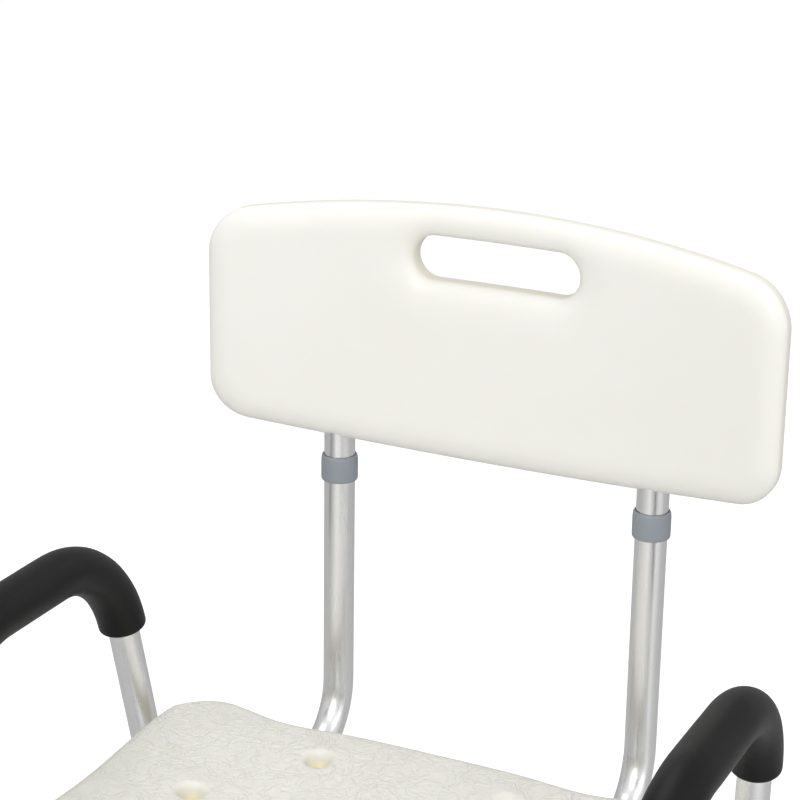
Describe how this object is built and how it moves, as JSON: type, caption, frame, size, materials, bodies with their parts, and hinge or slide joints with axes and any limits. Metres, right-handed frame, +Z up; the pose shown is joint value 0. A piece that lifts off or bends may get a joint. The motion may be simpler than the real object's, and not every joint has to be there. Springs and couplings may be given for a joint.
{
  "type": "shower chair",
  "caption": "Shower chair with a drained seat, lift-off curved back with a hand slot, foam-sleeved looped arms and push-button height-adjustable legs.",
  "frame": {"origin": "on the floor, midway across the chair and midway between its front feet and its back", "axes": "+Z up, +X to the right of someone who looks at the chair from in front, the sitter faces -Y"},
  "size_m": [0.5848, 0.5061, 0.8206],
  "materials": {
    "back_plastic": "off-white blow-moulded polyethylene, soft satin",
    "seat_plastic": "off-white blow-moulded polyethylene with a fine leather-like grain",
    "grey_plastic": "blue-grey moulded nylon",
    "black_foam": "closed-cell foam sleeve with a smooth skin",
    "foot_rubber": "grey rubber tip",
    "dark_plastic": "dark grey moulded plastic",
    "satin_tube": "satin anodised aluminium tube",
    "bright_steel": "stainless steel",
    "brass": "turned brass"
  },
  "bodies": {
    "frame": {"arm_bolts": "bright_steel", "arm_foam_left": "black_foam", "arm_foam_right": "black_foam", "arm_nuts": "bright_steel", "arm_plugs": "dark_plastic", "arm_spacers": "dark_plastic", "arm_tube_left": "satin_tube", "arm_tube_right": "satin_tube", "arm_washers": "bright_steel", "back_collar_left": "grey_plastic", "back_collar_right": "grey_plastic", "back_post_left": "satin_tube", "back_post_right": "satin_tube", "frame_bolts": "bright_steel", "frame_nuts": "bright_steel", "frame_washers": "bright_steel", "leg_collar_front_left": "grey_plastic", "leg_collar_front_right": "grey_plastic", "leg_collar_rear_left": "grey_plastic", "leg_collar_rear_right": "grey_plastic", "leg_frame_front": "satin_tube", "leg_frame_rear": "satin_tube", "rail_plugs": "dark_plastic", "rail_saddles": "dark_plastic", "seat_bolts": "bright_steel", "seat_inserts": "brass", "seat_panel": "seat_plastic", "seat_washers": "bright_steel"},
    "back": {"backrest_panel": "back_plastic", "back_screws": "bright_steel", "back_tube_plugs": "dark_plastic", "back_tube_left": "satin_tube", "back_tube_right": "satin_tube", "back_spring_left": "bright_steel", "back_spring_right": "bright_steel"},
    "back_button_left": {"back_button_left": "bright_steel"},
    "back_button_right": {"back_button_right": "bright_steel"},
    "leg_front_left": {"leg_extension_front_left": "satin_tube", "foot_front_left": "foot_rubber", "leg_spring_front_left": "bright_steel"},
    "leg_button_front_left": {"leg_button_front_left": "bright_steel"},
    "leg_front_right": {"leg_extension_front_right": "satin_tube", "foot_front_right": "foot_rubber", "leg_spring_front_right": "bright_steel"},
    "leg_button_front_right": {"leg_button_front_right": "bright_steel"},
    "leg_rear_left": {"leg_extension_rear_left": "satin_tube", "foot_rear_left": "foot_rubber", "leg_spring_rear_left": "bright_steel"},
    "leg_button_rear_left": {"leg_button_rear_left": "bright_steel"},
    "leg_rear_right": {"leg_extension_rear_right": "satin_tube", "foot_rear_right": "foot_rubber", "leg_spring_rear_right": "bright_steel"},
    "leg_button_rear_right": {"leg_button_rear_right": "bright_steel"}
  },
  "joints": [
    {"name": "back_lift", "type": "slide", "parent": "frame", "child": "back", "axis": [0, 0, 1], "range_m": [0, 0.24]},
    {"name": "back_button_left_press", "type": "slide", "parent": "back", "child": "back_button_left", "axis": [0, -1, 0], "range_m": [0, 0.0045], "stiffness_N_per_m": 900, "springref_m": -0.003, "deforming": ["back_spring_left"]},
    {"name": "back_button_right_press", "type": "slide", "parent": "back", "child": "back_button_right", "axis": [0, -1, 0], "range_m": [0, 0.0045], "stiffness_N_per_m": 900, "springref_m": -0.003, "deforming": ["back_spring_right"]},
    {"name": "leg_front_left_extend", "type": "slide", "parent": "frame", "child": "leg_front_left", "axis": [-0.0804, -0.1804, -0.9803], "range_m": [0, 0.12]},
    {"name": "leg_button_front_left_press", "type": "slide", "parent": "leg_front_left", "child": "leg_button_front_left", "axis": [-0.0147, 0.9836, -0.1798], "range_m": [0, 0.0045], "stiffness_N_per_m": 900, "springref_m": -0.003, "deforming": ["leg_spring_front_left"]},
    {"name": "leg_front_right_extend", "type": "slide", "parent": "frame", "child": "leg_front_right", "axis": [0.0804, -0.1804, -0.9803], "range_m": [0, 0.12]},
    {"name": "leg_button_front_right_press", "type": "slide", "parent": "leg_front_right", "child": "leg_button_front_right", "axis": [0.0147, 0.9836, -0.1798], "range_m": [0, 0.0045], "stiffness_N_per_m": 900, "springref_m": -0.003, "deforming": ["leg_spring_front_right"]},
    {"name": "leg_rear_left_extend", "type": "slide", "parent": "frame", "child": "leg_rear_left", "axis": [-0.0804, 0.1804, -0.9803], "range_m": [0, 0.12]},
    {"name": "leg_button_rear_left_press", "type": "slide", "parent": "leg_rear_left", "child": "leg_button_rear_left", "axis": [-0.0147, -0.9836, -0.1798], "range_m": [0, 0.0045], "stiffness_N_per_m": 900, "springref_m": -0.003, "deforming": ["leg_spring_rear_left"]},
    {"name": "leg_rear_right_extend", "type": "slide", "parent": "frame", "child": "leg_rear_right", "axis": [0.0804, 0.1804, -0.9803], "range_m": [0, 0.12]},
    {"name": "leg_button_rear_right_press", "type": "slide", "parent": "leg_rear_right", "child": "leg_button_rear_right", "axis": [0.0147, -0.9836, -0.1798], "range_m": [0, 0.0045], "stiffness_N_per_m": 900, "springref_m": -0.003, "deforming": ["leg_spring_rear_right"]}
  ]
}
